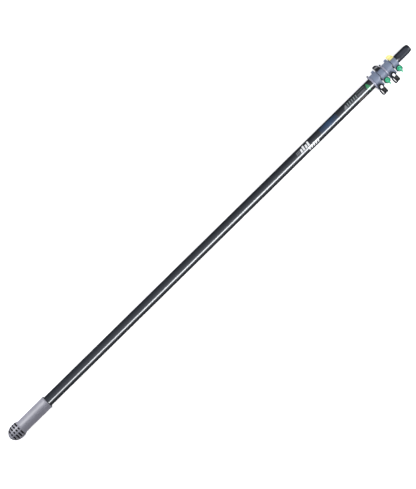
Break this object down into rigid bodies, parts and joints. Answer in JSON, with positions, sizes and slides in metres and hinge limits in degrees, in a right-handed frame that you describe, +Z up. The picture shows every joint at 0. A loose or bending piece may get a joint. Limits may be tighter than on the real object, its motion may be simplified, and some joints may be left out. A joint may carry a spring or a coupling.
{
  "type": "telescopic window cleaning pole",
  "caption": "Telescopic window cleaning pole, collapsed, with round composite tubes, side-lever clamps, tension knobs, hose clips, a vented rubber end cap and a tool spigot.",
  "frame": {"origin": "centre of the bounding box's underside: on the surface the pole lies on, half way along it", "axes": "+X along the pole from the end cap to the tool spigot, +Y to the side away from the levers, +Z up from the surface it lies on"},
  "size_m": [1.755, 0.0886, 0.0516],
  "materials": {
    "composite": "clear lacquer over woven carbon fibre composite, charcoal",
    "grey_rubber": "moulded mid-grey rubber, fine pebbled grain",
    "grey_nylon": "moulded bluish-grey glass-filled nylon",
    "black_nylon": "moulded black nylon, soft gloss",
    "green_nylon": "moulded green nylon, soft gloss",
    "yellow_nylon": "moulded pale yellow nylon, soft gloss",
    "steel": "bright plated steel"
  },
  "bodies": {
    "base_section": {"end_cap": "grey_rubber", "base_plug": "black_nylon", "outer_tube": "composite", "clamp_body_1": "grey_nylon", "hose_clip_1": "black_nylon", "lever_bolt_1": "steel", "cam_washer_1": "steel", "knob_seat_1": "black_nylon", "knob_screw_1": "green_nylon", "knob_nut_1": "steel", "glide_sleeve_1": "black_nylon", "collar_screw_1": "black_nylon"},
    "middle_section": {"middle_tube": "composite", "middle_guide_bush": "black_nylon", "clamp_body_2": "grey_nylon", "hose_clip_2": "yellow_nylon", "lever_bolt_2": "steel", "cam_washer_2": "steel", "knob_seat_2": "black_nylon", "knob_screw_2": "green_nylon", "knob_nut_2": "steel", "glide_sleeve_2": "black_nylon", "collar_screw_2": "black_nylon"},
    "tip_section": {"inner_tube": "composite", "inner_guide_bush": "black_nylon", "tip_spigot": "black_nylon", "spigot_pin": "steel"},
    "lever_1": {"lever_1": "black_nylon"},
    "tension_knob_1": {"tension_knob_1": "green_nylon"},
    "adjusting_wheel_1": {"adjusting_wheel_1": "black_nylon"},
    "lever_2": {"lever_2": "black_nylon"},
    "tension_knob_2": {"tension_knob_2": "green_nylon"},
    "adjusting_wheel_2": {"adjusting_wheel_2": "black_nylon"}
  },
  "joints": [
    {"name": "middle_slide", "type": "slide", "parent": "base_section", "child": "middle_section", "axis": [1, 0, 0], "range_m": [0, 1.43]},
    {"name": "tip_slide", "type": "slide", "parent": "middle_section", "child": "tip_section", "axis": [1, 0, 0], "range_m": [0, 1.45]},
    {"name": "lever_1_turn", "type": "hinge", "parent": "base_section", "child": "lever_1", "pos_m": [0.7255, -0.01875, 0.0446], "axis": [0, 0, 1], "range_deg": [-90, 0]},
    {"name": "tension_knob_1_turn", "type": "hinge", "parent": "base_section", "child": "tension_knob_1", "pos_m": [0.7545, -0.01725, 0.0375], "axis": [0, 0, 1], "range_deg": [-60, 30]},
    {"name": "adjusting_wheel_1_turn", "type": "hinge", "parent": "base_section", "child": "adjusting_wheel_1", "pos_m": [0.7255, -0.01875, 0.0085], "axis": [0, 0, 1], "continuous": true},
    {"name": "lever_2_turn", "type": "hinge", "parent": "middle_section", "child": "lever_2", "pos_m": [0.7785, -0.01875, 0.0446], "axis": [0, 0, 1], "range_deg": [-90, 0]},
    {"name": "tension_knob_2_turn", "type": "hinge", "parent": "middle_section", "child": "tension_knob_2", "pos_m": [0.8075, -0.01725, 0.0375], "axis": [0, 0, 1], "range_deg": [-60, 30]},
    {"name": "adjusting_wheel_2_turn", "type": "hinge", "parent": "middle_section", "child": "adjusting_wheel_2", "pos_m": [0.7785, -0.01875, 0.0085], "axis": [0, 0, 1], "continuous": true}
  ]
}
